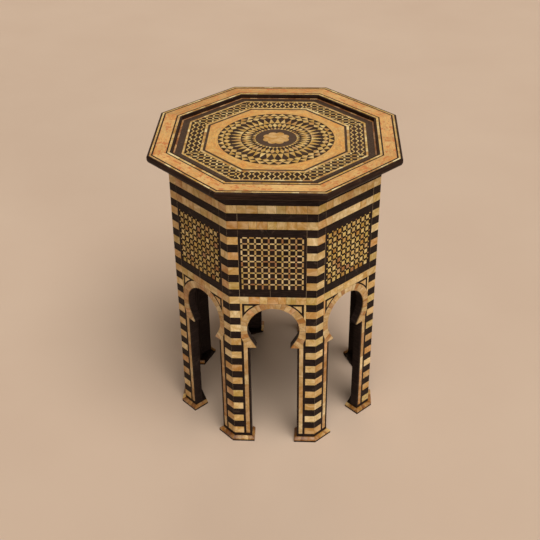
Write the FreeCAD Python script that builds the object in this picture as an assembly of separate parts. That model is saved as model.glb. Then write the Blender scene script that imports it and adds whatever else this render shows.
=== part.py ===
import FreeCAD
import Part
import math
import os

# Octagonal inlaid table of the kursi kind, in millimetres. The origin is on the floor in the middle
# of the table, +Z is up and the first face looks along -Y. Eight boards stand on edge, mitred at
# the corners, and each one is cut out below as a horseshoe arch, so that the table stands on eight
# corner legs. The top is a sunk tray in a frame of mitred rails. Pale tesserae are let in flush.
# Faces and corners are numbered anticlockwise from the front, seen from above.

# Whole table
FACES = 8
TABLE_HEIGHT = 500.0
TOP_ACROSS_FLATS = 390.8
TOP_OVERHANG = 30.4

# Side boards and the depth of what is let into them
BOARD_THICKNESS = 15.0
INLAY_DEPTH = 2.0
SEAT_CLEARANCE = 0.15

# Feet: a base plate cut straight across on the inside, and a moulding that slopes back to the leg
BASE_THICKNESS = 3.0
FOOT_PROJECTION = 6.0
FOOT_SIDE_PROJECTION = 4.5
FOOT_INNER_PROJECTION = 8.5
FOOT_LIP_HEIGHT = 2.0
FOOT_SLOPE_HEIGHT = 2.5
FOOT_TOP_PROJECTION = 1.4

# Pale stripes, counted upwards: those beside the legs, a band over the arch, those beside the
# lattice and the bands under the top. Dark stripes as high lie between them.
LEG_STRIPE_COUNT = 10
LATTICE_STRIPE_COUNT = 4
UPPER_BAND_COUNT = 2
FIRST_STRIPE_HEIGHT = 13.5
DARK_TOP_BORDER = 22.4
CORNER_BLOCK_WIDTH = 16.4

# Widths across a leg from the corner column inwards, and the arch that grows out of the legs. The
# arch and the whole circle of its ring are drawn as chords.
LEG_LINE_WIDTH = 3.6
LEG_FILLET_WIDTH = 6.6
LEG_EDGE_WIDTH = 3.2
ARCH_CROWN_DEPTH = 9.0
ARCH_RING_WIDTH = 12.75
ARCH_CUSP_DROP = 36.2
ARCH_CUSP_ANGLE = 30.0
UPRIGHT_LINE_WIDTH = 3.3
SPANDREL_BORDER = 3.4
SPANDREL_RING_GAP = 2.1
ARCH_CHORDS = 16
RING_CHORDS = 24

# Rim rails, from the outside inwards
RIM_THICKNESS = 14.0
NOSING_LOWER_RADIUS = 9.0
NOSING_LOWER_CHORDS = 4
NOSING_UPPER_RADIUS = 2.2
NOSING_UPPER_CHORDS = 2
NOSING_WIDTH = 3.7
OUTER_LINE_WIDTH = 3.0
OUTER_DARK_WIDTH = 2.5
BANDING_WIDTH = 19.0
INNER_DARK_WIDTH = 2.2
INNER_LINE_WIDTH = 3.8
RIM_LIP_WIDTH = 3.2
RIM_INLAY_DEPTH = 1.5

# Tray: how deep it is, the rebate that holds the top board, and the veneers on the board. The broad
# borders take their shares of the tray's half width.
TRAY_DEPTH = 6.0
REBATE_WIDTH = 6.0
REBATE_CLEARANCE = 0.3
VENEER_THICKNESS = 1.5
WALL_LINE_WIDTH = 3.0
BAND_OUTER_LINE_WIDTH = 3.4
BAND_INNER_LINE_WIDTH = 4.3
DARK_LINE_WIDTH = 3.9
DARK_BORDER_SHARE = 0.0684
BAND_SHARE = 0.1506

# Medallion: its share of the tray's middle, its rings as shares of its radius, and the rosette's
# lobes as a share of the rosette
RAY_COUNT = 40
MEDALLION_SHARE = 0.857
RAY_TIP_SHARE = 0.789
RAY_FOOT_SHARE = 0.606
ROSETTE_SHARE = 0.236
ROSETTE_LOBES = 8
ROSETTE_LOBE_SHARE = 0.327
ROSETTE_LOBE_CHORDS = 5

# Glue blocks in the inner corners under the top board
BLOCK_WIDTH = 26.0
BLOCK_HEIGHT = 28.0
BLOCK_CHAMFER = 9.0

# How far a cutting shape runs past what it cuts
OVERRUN = 5.0

# Worked-out sizes
TURN = 360.0
SECTOR = TURN / FACES
MITRE = math.tan(math.radians(SECTOR / 2))
TOP_APOTHEM = TOP_ACROSS_FLATS / 2
BODY_APOTHEM = TOP_APOTHEM - TOP_OVERHANG
HALF_FACE = BODY_APOTHEM * MITRE
INNER_APOTHEM = BODY_APOTHEM - BOARD_THICKNESS
BODY_TOP = TABLE_HEIGHT - RIM_THICKNESS

ARCADE_BAND = LEG_STRIPE_COUNT
FIRST_UPPER_BAND = ARCADE_BAND + 1 + LATTICE_STRIPE_COUNT
STRIPE_COUNT = FIRST_UPPER_BAND + UPPER_BAND_COUNT
STRIPE_PITCH = (BODY_TOP - FIRST_STRIPE_HEIGHT - DARK_TOP_BORDER) / (STRIPE_COUNT - 0.5)
STRIPE_HEIGHT = STRIPE_PITCH / 2

HALF_PANEL = HALF_FACE - CORNER_BLOCK_WIDTH
FILLET_OUTER = HALF_PANEL - LEG_LINE_WIDTH
ARCH_RADIUS = FILLET_OUTER - LEG_FILLET_WIDTH
HALF_OPENING = ARCH_RADIUS - LEG_EDGE_WIDTH
ARCADE_BOTTOM = FIRST_STRIPE_HEIGHT + ARCADE_BAND * STRIPE_PITCH
ARCH_CENTRE = ARCADE_BOTTOM - ARCH_CROWN_DEPTH - ARCH_RADIUS
CUSP_HEIGHT = ARCH_CENTRE - ARCH_CUSP_DROP
RING_RADIUS = ARCH_RADIUS + ARCH_RING_WIDTH

TRAY_FLOOR = TABLE_HEIGHT - TRAY_DEPTH
BOARD_TOP = TRAY_FLOOR - VENEER_THICKNESS
RIM_INLAY_BOTTOM = TABLE_HEIGHT - RIM_INLAY_DEPTH


def running_sum(start, widths):
    """Edges met going inwards from start, across strips of the given widths."""
    edges = [start]
    for width in widths:
        edges.append(edges[-1] - width)
    return edges


RIM_EDGES = running_sum(
    TOP_APOTHEM,
    [NOSING_WIDTH, OUTER_LINE_WIDTH, OUTER_DARK_WIDTH, BANDING_WIDTH, INNER_DARK_WIDTH, INNER_LINE_WIDTH,
     RIM_LIP_WIDTH])
TRAY_APOTHEM = RIM_EDGES[-1]
REBATE_APOTHEM = TRAY_APOTHEM + REBATE_WIDTH
FIELD_EDGES = running_sum(
    TRAY_APOTHEM,
    [WALL_LINE_WIDTH, DARK_BORDER_SHARE * TRAY_APOTHEM, BAND_OUTER_LINE_WIDTH, BAND_SHARE * TRAY_APOTHEM,
     BAND_INNER_LINE_WIDTH, DARK_LINE_WIDTH])
MEDALLION_RADIUS = MEDALLION_SHARE * FIELD_EDGES[-1]
RAY_TIP_RADIUS = RAY_TIP_SHARE * MEDALLION_RADIUS
RAY_FOOT_RADIUS = RAY_FOOT_SHARE * MEDALLION_RADIUS
ROSETTE_RADIUS = ROSETTE_SHARE * MEDALLION_RADIUS
ROSETTE_LOBE_RADIUS = ROSETTE_LOBE_SHARE * ROSETTE_RADIUS


def arc_points(centre, radius, start, end, chords):
    """Points along an arc that is drawn as straight chords. Angles are in degrees from the first axis."""
    points = []
    for number in range(chords + 1):
        angle = math.radians(start + (end - start) * number / chords)
        points.append((centre[0] + radius * math.cos(angle), centre[1] + radius * math.sin(angle)))
    return points


def prism(outline, z_low, z_high):
    """Upright solid over a plan outline of (x, y) points."""
    corners = [FreeCAD.Vector(x, y, z_low) for x, y in outline]
    face = Part.Face(Part.makePolygon(corners + corners[:1]))
    return face.extrude(FreeCAD.Vector(0, 0, z_high - z_low))


def stacked(levels):
    """Solid with flat sides through plan outlines that have as many points at each (height, outline)."""
    rings = [[FreeCAD.Vector(x, y, z) for x, y in outline] for z, outline in levels]
    faces = [Part.Face(Part.makePolygon(ring + ring[:1])) for ring in (rings[0], rings[-1])]
    for lower, upper in zip(rings, rings[1:]):
        for i in range(len(lower)):
            j = (i + 1) % len(lower)
            quad = [lower[i], lower[j], upper[j], upper[i], lower[i]]
            faces.append(Part.Face(Part.makePolygon(quad)))
    shell = Part.makeShell(faces)
    shell.sewShape()
    solid = Part.makeSolid(shell)
    if solid.Volume < 0:
        solid.reverse()
    return solid


def slab(s_low, s_high, z_low, z_high, depth_low, depth_high):
    """Box on the first face, placed by its offset from the middle line, its height and its depth."""
    corner = FreeCAD.Vector(s_low, depth_low - BODY_APOTHEM, z_low)
    return Part.makeBox(s_high - s_low, depth_high - depth_low, z_high - z_low, corner)


def plate(outline, depth_low, depth_high):
    """Plate on the first face over an outline of (offset, height) points."""
    corners = [FreeCAD.Vector(s, depth_low - BODY_APOTHEM, z) for s, z in outline]
    face = Part.Face(Part.makePolygon(corners + corners[:1]))
    return face.extrude(FreeCAD.Vector(0, depth_high - depth_low, 0))


def disc(radius, depth_low, depth_high):
    """Disc round the arch's centre on the first face."""
    outline = arc_points((0, ARCH_CENTRE), radius, 0, TURN, RING_CHORDS)
    return plate(outline[:-1], depth_low, depth_high)


def mitred(solid):
    """What lies in the first face's sector, so that its ends are cut on the mitre."""
    reach = TOP_APOTHEM + OVERRUN
    outline = [(0, 0), (-reach * MITRE, -reach), (reach * MITRE, -reach)]
    return solid.common(prism(outline, -OVERRUN, TABLE_HEIGHT + OVERRUN)).Solids[0]


def bar(inner, outer, z_low, z_high):
    """One side of an octagonal ring between two distances from the axis, cut on the mitre."""
    outer_side = [(-outer * MITRE, -outer), (outer * MITRE, -outer)]
    inner_side = [(inner * MITRE, -inner), (-inner * MITRE, -inner)]
    return prism(outer_side + inner_side, z_low, z_high)


def turned(solid, number):
    """Copy of a solid of the first face, turned to another face."""
    copy = solid.copy()
    copy.rotate(FreeCAD.Vector(0, 0, 0), FreeCAD.Vector(0, 0, 1), number * SECTOR)
    return copy


def all_round(solid):
    return [turned(solid, number) for number in range(FACES)]


def across_corner(point):
    """The point's mirror image on the next face, across the first corner."""
    doubled = math.radians(SECTOR - TURN / 2)
    x, y = point
    return (x * math.cos(doubled) + y * math.sin(doubled), x * math.sin(doubled) - y * math.cos(doubled))


def stripe(number):
    """Lower and upper height of a pale stripe."""
    low = FIRST_STRIPE_HEIGHT + number * STRIPE_PITCH
    return low, low + STRIPE_HEIGHT


def save(name, solids):
    shape = solids[0] if len(solids) == 1 else Part.makeCompound(solids)
    shape.exportStep(os.path.join("parts", name + ".step"))


# Side boards

def arch_opening():
    """The space between two legs and inside the horseshoe, cut right through the board."""
    lean = math.radians(ARCH_CUSP_ANGLE)
    bow = arc_points(
        (0, ARCH_CENTRE), ARCH_RADIUS, -ARCH_CUSP_ANGLE, TURN / 2 + ARCH_CUSP_ANGLE, ARCH_CHORDS)
    cusp_offset = bow[0][0] - (bow[0][1] - CUSP_HEIGHT) * math.tan(lean)
    right = [(HALF_OPENING, -OVERRUN), (HALF_OPENING, CUSP_HEIGHT), (cusp_offset, CUSP_HEIGHT)]
    left = [(-s, z) for s, z in reversed(right)]
    return plate(right + bow + left, -OVERRUN, BOARD_THICKNESS + OVERRUN)


def both_sides(s_low, s_high, z_low, z_high):
    return [(s_low, s_high, z_low, z_high), (-s_high, -s_low, z_low, z_high)]


def straight_inlays():
    """Outlines of the flat-sided tesserae: corner blocks, bands across the face and leg fillets."""
    outlines = []
    for number in range(STRIPE_COUNT):
        low, high = stripe(number)
        if number == ARCADE_BAND or number >= FIRST_UPPER_BAND:
            outlines.append((-HALF_FACE, HALF_FACE, low, high))
        else:
            outlines += both_sides(HALF_PANEL, HALF_FACE, low, high)
    outlines += both_sides(ARCH_RADIUS, FILLET_OUTER, FIRST_STRIPE_HEIGHT, CUSP_HEIGHT)
    return outlines


def arch_ring(grow, front):
    """Ring round the arch, running down to the leg fillets and stopped by the columns and the band."""
    ring = disc(RING_RADIUS + grow, front, INLAY_DEPTH)
    ring = ring.fuse(slab(-FILLET_OUTER, FILLET_OUTER, CUSP_HEIGHT, ARCH_CENTRE, front, INLAY_DEPTH))
    ring = ring.common(slab(-HALF_PANEL, HALF_PANEL, CUSP_HEIGHT, ARCADE_BOTTOM, front, INLAY_DEPTH))
    return ring.cut(arch_opening()).removeSplitter().Solids


def upright_lines(grow, front):
    """Thin lines that carry the corner columns' inner edge on from the ring up to the band."""
    lines = []
    for s_low, s_high, z_low, z_high in both_sides(
            HALF_PANEL - UPRIGHT_LINE_WIDTH, HALF_PANEL, ARCH_CENTRE, ARCADE_BOTTOM):
        line = slab(s_low, s_high, z_low, z_high, front, INLAY_DEPTH)
        lines += line.cut(disc(RING_RADIUS + SEAT_CLEARANCE - grow, front, INLAY_DEPTH)).Solids
    return lines


def spandrels(grow, front):
    """Three-cornered pieces in the angle between the ring, the upright line and the band."""
    outer = HALF_PANEL - UPRIGHT_LINE_WIDTH - SPANDREL_BORDER
    top = ARCADE_BOTTOM - SPANDREL_BORDER
    hollow = disc(RING_RADIUS + SPANDREL_RING_GAP - grow, front, INLAY_DEPTH)
    pieces = []
    for s_low, s_high, z_low, z_high in both_sides(0, outer, ARCH_CENTRE, top):
        pieces += slab(s_low, s_high, z_low, z_high, front, INLAY_DEPTH).cut(hollow).Solids
    return pieces


def curved_inlays(grow, front):
    return arch_ring(grow, front) + upright_lines(grow, front) + spandrels(grow, front)


def lattice_panel(front):
    low = stripe(ARCADE_BAND + 1)[0]
    high = stripe(FIRST_UPPER_BAND - 1)[1]
    return slab(-FILLET_OUTER, FILLET_OUTER, low, high, front, INLAY_DEPTH)


def side_board():
    """Mitred board with the arch cut out and a shallow pocket for each piece let into it."""
    board = mitred(slab(-HALF_FACE, HALF_FACE, BASE_THICKNESS, BODY_TOP, 0, BOARD_THICKNESS))
    board = board.cut(arch_opening())
    pockets = [slab(*outline, -OVERRUN, INLAY_DEPTH) for outline in straight_inlays()]
    pockets += curved_inlays(SEAT_CLEARANCE, -OVERRUN)
    pockets.append(lattice_panel(-OVERRUN))
    return board.cut(Part.makeCompound(pockets)).Solids[0]


def face_inlay():
    pieces = [mitred(slab(*outline, 0, INLAY_DEPTH)) for outline in straight_inlays()]
    return pieces + curved_inlays(0, 0)


# Feet

def leg_path(side_gap, front_gap):
    """Plan points round the outside of the first corner's leg, from one inner end to the other."""
    half = [
        (HALF_OPENING - side_gap, FOOT_INNER_PROJECTION - INNER_APOTHEM),
        (HALF_OPENING - side_gap, -BODY_APOTHEM - front_gap),
    ]
    vertex = ((BODY_APOTHEM + front_gap) * MITRE, -BODY_APOTHEM - front_gap)
    return half + [vertex] + [across_corner(point) for point in reversed(half)]


def foot_base():
    """Plate under the leg, as wide as the moulding that stands on it."""
    return prism(leg_path(FOOT_SIDE_PROJECTION, FOOT_PROJECTION), 0, BASE_THICKNESS)


def foot_moulding():
    """Moulding with a low upright lip and a slope, round the two faces and the two arch-side ends."""
    against_leg = leg_path(0, 0)[::-1]
    wide = leg_path(FOOT_SIDE_PROJECTION, FOOT_PROJECTION) + against_leg
    narrow = leg_path(FOOT_TOP_PROJECTION, FOOT_TOP_PROJECTION) + against_leg
    lip = BASE_THICKNESS + FOOT_LIP_HEIGHT
    return stacked([(BASE_THICKNESS, wide), (lip, wide), (lip + FOOT_SLOPE_HEIGHT, narrow)])


# Glue blocks

def block_outline(width):
    """Three-cornered plan of a block that fills the inner corner between two boards."""
    corner = (INNER_APOTHEM * MITRE, -INNER_APOTHEM)
    end = (corner[0] - width, corner[1])
    return [corner, across_corner(end), end]


def corner_block():
    """Block under the top board, chamfered back towards the corner at its lower end."""
    full = block_outline(BLOCK_WIDTH)
    reduced = block_outline(BLOCK_WIDTH - BLOCK_CHAMFER)
    bottom = BODY_TOP - BLOCK_HEIGHT
    return stacked([(bottom, reduced), (bottom + BLOCK_CHAMFER, full), (BODY_TOP, full)])


# Top

def rail_profile():
    """Section of a rail as (distance, height): nosing outside, a rebate for the top board inside."""
    lower = NOSING_LOWER_RADIUS
    upper = NOSING_UPPER_RADIUS
    bottom_round = arc_points(
        (TOP_APOTHEM - lower, BODY_TOP + lower), lower, -TURN / 4, 0, NOSING_LOWER_CHORDS)
    top_round = arc_points(
        (TOP_APOTHEM - upper, TABLE_HEIGHT - upper), upper, 0, TURN / 4, NOSING_UPPER_CHORDS)
    inside = [
        (TRAY_APOTHEM, TABLE_HEIGHT),
        (TRAY_APOTHEM, BOARD_TOP),
        (REBATE_APOTHEM, BOARD_TOP),
        (REBATE_APOTHEM, BODY_TOP),
    ]
    return bottom_round + top_round + inside


def rim_rail():
    """Mitred rail with a groove above for each of its strips."""
    half_length = TOP_APOTHEM * MITRE
    section = [FreeCAD.Vector(-half_length, -distance, z) for distance, z in rail_profile()]
    end = Part.Face(Part.makePolygon(section + section[:1]))
    rail = end.extrude(FreeCAD.Vector(2 * half_length, 0, 0))
    grooves = [
        bar(RIM_EDGES[i + 1], RIM_EDGES[i], RIM_INLAY_BOTTOM, TABLE_HEIGHT + OVERRUN) for i in (1, 3, 5)]
    return mitred(rail).cut(Part.makeCompound(grooves)).Solids[0]


def rim_strip(number):
    return bar(RIM_EDGES[number + 1], RIM_EDGES[number], RIM_INLAY_BOTTOM, TABLE_HEIGHT)


def field_strip(number):
    return bar(FIELD_EDGES[number + 1], FIELD_EDGES[number], BOARD_TOP, TRAY_FLOOR)


def octagon(apothem, z_low, z_high):
    first = SECTOR / 2
    radius = apothem / math.cos(math.radians(first))
    corners = arc_points((0, 0), radius, first, first + TURN, FACES)
    return prism(corners[:-1], z_low, z_high)


# Medallion

def ray_point(radius, step):
    """Point on a ring of the medallion. Whole steps lie on the rays, half steps between them."""
    angle = math.radians(TURN / 4 + step * TURN / RAY_COUNT)
    return (radius * math.cos(angle), radius * math.sin(angle))


def ray_polygon(radius, offset):
    outline = [ray_point(radius, number + offset) for number in range(RAY_COUNT)]
    return prism(outline, BOARD_TOP, TRAY_FLOOR)


def pale_rays():
    """Wedges that stand on the inner ring and taper outwards."""
    rays = []
    for number in range(RAY_COUNT):
        outline = [
            ray_point(RAY_FOOT_RADIUS, number - 0.5),
            ray_point(RAY_FOOT_RADIUS, number + 0.5),
            ray_point(RAY_TIP_RADIUS, number),
        ]
        rays.append(prism(outline, BOARD_TOP, TRAY_FLOOR))
    return rays


def toothed_ring():
    """Dark ring round the rays, with a tooth that tapers inwards between every two of them."""
    teeth = []
    for number in range(RAY_COUNT):
        teeth.append(ray_point(RAY_TIP_RADIUS, number))
        teeth.append(ray_point(RAY_FOOT_RADIUS, number + 0.5))
    return ray_polygon(MEDALLION_RADIUS, 0.5).cut(prism(teeth, BOARD_TOP, TRAY_FLOOR)).Solids


def rosette():
    """Flower of round lobes that meet in notches."""
    ring = ROSETTE_RADIUS - ROSETTE_LOBE_RADIUS
    half_step = TURN / ROSETTE_LOBES / 2
    notch = math.degrees(math.asin(ring * math.sin(math.radians(half_step)) / ROSETTE_LOBE_RADIUS))
    reach = notch + half_step
    outline = []
    for number in range(ROSETTE_LOBES):
        middle = (2 * number + 1) * half_step
        centre = (ring * math.cos(math.radians(middle)), ring * math.sin(math.radians(middle)))
        lobe = arc_points(centre, ROSETTE_LOBE_RADIUS, middle - reach, middle + reach, ROSETTE_LOBE_CHORDS)
        outline += lobe[:-1]
    return prism(outline, BOARD_TOP, TRAY_FLOOR)


def build():
    os.makedirs("parts", exist_ok=True)
    board = side_board()
    inlay = face_inlay()
    panel = lattice_panel(0)
    moulding = foot_moulding()
    base = foot_base()
    rail = rim_rail()
    for number in range(FACES):
        label = str(number + 1)
        save("side_board_" + label, [turned(board, number)])
        save("face_inlay_" + label, [turned(piece, number) for piece in inlay])
        save("lattice_panel_" + label, [turned(panel, number)])
        save("foot_moulding_" + label, [turned(moulding, number)])
        save("foot_base_" + label, [turned(base, number)])
        save("rim_rail_" + label, [turned(rail, number)])
    save("glue_blocks", all_round(corner_block()))
    save("rim_banding", all_round(rim_strip(3)))
    save("rim_lines", all_round(rim_strip(1)) + all_round(rim_strip(5)))
    save("top_board", [octagon(REBATE_APOTHEM - REBATE_CLEARANCE, BODY_TOP, BOARD_TOP)])
    save("tray_lines", all_round(field_strip(0)) + all_round(field_strip(2)) + all_round(field_strip(4)))
    save("tray_dark_borders", all_round(field_strip(1)) + all_round(field_strip(5)))
    save("tray_pattern_band", all_round(field_strip(3)))
    medallion = ray_polygon(MEDALLION_RADIUS, 0.5)
    save("tray_octagon", octagon(FIELD_EDGES[-1], BOARD_TOP, TRAY_FLOOR).cut(medallion).Solids)
    save("medallion_toothed_ring", toothed_ring())
    save("medallion_rays", pale_rays())
    flower = rosette()
    save("medallion_centre", ray_polygon(RAY_FOOT_RADIUS, 0.5).cut(flower).Solids)
    save("medallion_rosette", [flower])


build()
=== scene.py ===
import math
import random

import bpy
from mathutils import Matrix, Vector


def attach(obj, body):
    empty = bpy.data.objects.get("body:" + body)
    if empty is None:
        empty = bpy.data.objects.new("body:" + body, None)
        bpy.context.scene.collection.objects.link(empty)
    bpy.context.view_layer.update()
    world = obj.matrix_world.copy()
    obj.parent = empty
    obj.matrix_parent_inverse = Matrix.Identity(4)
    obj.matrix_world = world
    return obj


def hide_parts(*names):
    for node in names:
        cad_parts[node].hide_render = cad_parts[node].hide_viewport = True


# Looks of the inlaid octagonal table. Sizes are in millimetres, as in the part, and turn into metres
# where a mesh is made. Face 0 looks along -Y, and the others follow anticlockwise from above.
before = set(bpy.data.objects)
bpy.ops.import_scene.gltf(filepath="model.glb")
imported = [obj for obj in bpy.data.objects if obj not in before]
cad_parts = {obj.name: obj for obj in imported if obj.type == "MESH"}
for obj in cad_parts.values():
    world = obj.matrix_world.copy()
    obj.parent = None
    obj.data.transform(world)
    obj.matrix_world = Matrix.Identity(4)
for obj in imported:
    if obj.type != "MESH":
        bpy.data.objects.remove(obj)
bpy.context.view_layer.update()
random.seed(8)

MM = 0.001
FACES = 8
TURN = 360.0
SECTOR = TURN / FACES
MITRE = math.tan(math.radians(SECTOR / 2))

# Sides of the top, numbered as the faces are
FRONT, RIGHT, LEFT = 0, 2, 6
RIGHT_SLANTS = (1, 3)
BACK_SLANTS = (3, 5)

# How finely the pieces are fitted: a tile's gap to its neighbour, its eased edge and how dark that
# edge has grown, its pocket's depth, how far hand-cut dashes stray and how the grain leans, in degrees
GAP = 0.08
TIGHT = 0.02
EDGE = 0.22
EDGE_SHADE = 0.5
POCKET = 1.9
GROUND = 0.2
DARK_SUNK = 0.03
HAND_PLAY = 0.14
GRAIN_LEAN = 14.0
GRAIN_REACH = 400

# Limits of the geometry: area and distance too small to keep, least share of a mitre, and near zero
SMALLEST_TILE = 0.4
SAME_POINT = 0.02
SHARPEST_SHARE = 0.06
TINY = 1e-6

# Side boards and what is let into them
BODY_APOTHEM = 165.0
HALF_FACE = BODY_APOTHEM * MITRE
CORNER_DISTANCE = BODY_APOTHEM / math.cos(math.radians(SECTOR / 2))
BOARD_THICKNESS = 15.0
BLOCK_WIDTH = 16.4
BESIDE_BLOCKS = 3.6
FILLET_WIDTH = 6.6
HALF_PANEL = HALF_FACE - BLOCK_WIDTH
FILLET_OUTER = HALF_PANEL - BESIDE_BLOCKS
ARCH_RADIUS = FILLET_OUTER - FILLET_WIDTH
BODY_TOP = 486.0
FIRST_STRIPE_HEIGHT = 13.5
STRIPE_COUNT = 17
BANDS = (10, 15, 16)
ABOVE_STRIPES = 22.4
STRIPE_PITCH = (BODY_TOP - FIRST_STRIPE_HEIGHT - ABOVE_STRIPES) / (STRIPE_COUNT - 0.5)
STRIPE_HEIGHT = STRIPE_PITCH / 2
BAND_TILES = 7
BAND_TILE_PLAY = 1.8
FILLET_TILES = 7
FILLET_TILE_PLAY = 4.0
ARCADE_BOTTOM = FIRST_STRIPE_HEIGHT + BANDS[0] * STRIPE_PITCH
CROWN_WIDTH = 9.0
ARCH_CENTRE = ARCADE_BOTTOM - CROWN_WIDTH - ARCH_RADIUS
CUSP_DROP = 36.2
CUSP_ANGLE = 30.0
RING_WIDTH = 12.75
RING_RADIUS = ARCH_RADIUS + RING_WIDTH
VOUSSOIR = 9.5
VOUSSOIR_PLAY = 1.4
CUSP_TILES = 2
ARC_STEP = 3.0
UPRIGHT_WIDTH = 3.3
UPRIGHT_INNER = HALF_PANEL - UPRIGHT_WIDTH
SPANDREL_BORDER = 3.4
SPANDREL_OUTER = UPRIGHT_INNER - SPANDREL_BORDER
SPANDREL_TOP = ARCADE_BOTTOM - SPANDREL_BORDER
SPANDREL_GAP = 2.1
SPANDREL_RADIUS = RING_RADIUS + SPANDREL_GAP
SPANDREL_STEPS = 6

# Pale glue lines in the dark stripes
GLUE_WIDTH = 0.5
GLUE_PROUD = 0.03
ARRIS_SUNK = 0.06
MIDDLE_JOINT = -4.0

# Lattice panels: dashes along two directions, squares where they cross and in the cells between
LATTICE_PITCH = (10.333, 10.53)
LATTICE_START = (-46.75, 407.75)
LATTICE_COUNT = (10, 9)
PALE_DASH_WIDTH = (3.0, 2.7)
DARK_DASH_WIDTH = (3.7, 3.5)
PALE_CROSSING = 0.72

# Feet
FOOT_FRONT = 6.0
FOOT_SIDE = 4.5
FOOT_BEHIND = 8.5
FOOT_TOP = 1.4
FOOT_LEVELS = (3.0, 5.0, 7.5)
FOOT_EASE = 0.35
FOOT_EASE_SHARE = 0.7
FOOT_TILES = (2, 3, 3, 2)
FOOT_TILE_PLAY = 0.06
FOOT_JOINT = 0.004
BESIDE_OPENING = 3.2
HALF_OPENING = ARCH_RADIUS - BESIDE_OPENING
INNER_APOTHEM = BODY_APOTHEM - BOARD_THICKNESS

# Top
TOP_APOTHEM = 195.4
TABLE_HEIGHT = 500.0
NOSING_LOWER = 9.0
NOSING_UPPER = 2.2
NOSING_STEPS = (12, 8)
LIP_ROUND = 0.7
LIP_STEPS = 5
SHARP_ANGLE = 30
RIM_LINES = ((191.7, 188.7), (165.0, 161.2))
RIM_BANDING = (186.2, 167.2)
GROOVE_DEPTH = 1.5
TRAY_APOTHEM = 158.0
REBATE_APOTHEM = 164.0
TRAY_FLOOR = 494.0
BOARD_TOP = 492.5
TRAY_LINES = ((158.0, 155.0), (144.2, 140.8), (117.0, 112.7))
# Sides where the tray's outermost pale line takes a darker palette: painted shadow of the rim's inner wall
WALL_SHADOW_SIDES = (2, 3, 4, 5, 6)
FIELD_APOTHEM = 108.8
LINE_TILE = 13.0
BANDING_TILE = 24.0
STRIP_PLAY = 0.25

# Pattern band: wavy lines that run front to back on its straight sides, and lattice on its slanting
# ones. First and peak are where one line and one of its bends lie, on the front side and on the right.
PATTERN_BAND = (140.8, 117.0)
PATTERN_SUNK = 0.08
WAVE_SPACING = 7.5
WAVE_SWING = 1.6
WAVE_HALF_PERIOD = 7.5
WAVE_WIDTH = 2.3
WAVE_FLAT = 1.3
WAVE_EDGE = 0.05
FRONT_WAVES = {"first": 2.3, "peak": 123.5, "lines": range(-9, 9), "bends": range(-2, 4)}
RIGHT_WAVES = {"first": 121.0, "peak": 7.75, "lines": range(-1, 4), "bends": range(-10, 11)}
BAND_LATTICE_PITCH = (10.4, 10.4)
BAND_LATTICE_START = (34.4, 150.2)
BAND_LATTICE_COUNT = (11, 12)
BAND_DASH_WIDTH = (3.3, 3.3)

# Medallion: rings of triangles, as (inner radius, outer radius, way the pale ones point, turn in steps)
RAYS = 40
MEDALLION_RADIUS = 93.2
TRIANGLE_RINGS = (
    (33.0, 39.0, "out", 0.5),
    (39.0, 48.25, "in", 0.5),
    (48.25, 55.75, "out", 0.5),
    (56.5, 73.5, "out", 0.0),
    (73.5, 79.0, "in", 0.0),
    (79.0, 84.75, "out", 0.0),
    (84.75, MEDALLION_RADIUS, "out", 0.5),
)
TRIANGLE_GAP = 0.05
TRIANGLE_EDGE = 0.1
DISC_RADIUS = 33.0
ROSETTE_RADIUS = 22.0
ROSETTE_LOBE = 7.2
ROSETTE_LOBES = 8
LOBE_STEPS = 14

# Colours, with how often each one comes
BONE = (((207, 173, 115), 6), ((198, 159, 100), 6), ((191, 148, 91), 4), ((192, 161, 98), 3),
        ((216, 187, 134), 3), ((193, 146, 91), 2))
LATTICE_BONE = (((202, 171, 113), 6), ((190, 155, 97), 6), ((176, 136, 84), 3), ((216, 188, 138), 2),
                ((188, 160, 97), 2), ((158, 112, 72), 2))
CELL_BONE = (((202, 170, 99), 6), ((190, 154, 85), 6), ((176, 134, 72), 3), ((216, 187, 122), 2),
             ((188, 159, 84), 2), ((160, 112, 64), 2))
MOULDING_BONE = (((150, 104, 54), 4), ((128, 82, 40), 4), ((172, 130, 74), 3), ((204, 166, 102), 1),
                 ((104, 62, 32), 2))
RING_BONE = (((190, 155, 105), 5), ((178, 138, 89), 4), ((166, 121, 74), 2), ((190, 143, 95), 1),
             ((203, 174, 125), 2))
STRINGING = (((200, 160, 92), 5), ((208, 171, 104), 4), ((186, 142, 80), 3), ((228, 202, 142), 2),
             ((172, 126, 70), 1))
# Darker stringing for that line on those sides: painted shadow of the rim's wall
WALL_SHADOW_STRINGING = (((172, 122, 74), 3), ((150, 98, 54), 3), ((134, 86, 52), 2), ((200, 156, 106), 1))
TRAY_BONE = (((202, 163, 92), 5), ((192, 153, 82), 4), ((213, 179, 107), 2), ((184, 139, 76), 2))
BAND_BONE = (((202, 168, 98), 4), ((190, 154, 86), 4), ((215, 186, 120), 2), ((178, 138, 74), 2))
BANDING = (((212, 164, 97), 4), ((217, 171, 104), 3), ((207, 157, 91), 3))
# Darker copies of the banding for the rim's sides away from the front: painted shade, deepest at the back
BANDING_IN_PAINTED_SHADE = (((204, 154, 88), 4), ((209, 161, 95), 3), ((199, 148, 83), 3))
BANDING_IN_DEEPER_PAINTED_SHADE = (((186, 134, 71), 4), ((191, 141, 78), 3), ((181, 129, 66), 3))
# Banding palette of each side, numbered as the faces; all but the two front sides carry painted shade
BANDING_WITH_SHADE_BY_SIDE = (
    BANDING, BANDING_IN_PAINTED_SHADE, BANDING_IN_PAINTED_SHADE, BANDING_IN_PAINTED_SHADE, BANDING_IN_DEEPER_PAINTED_SHADE, BANDING_IN_DEEPER_PAINTED_SHADE, BANDING_IN_PAINTED_SHADE, BANDING)
FIELD = (((207, 156, 82), 1),)
EBONY = (((41, 30, 25), 3), ((35, 26, 21), 3), ((48, 36, 30), 2))
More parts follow.
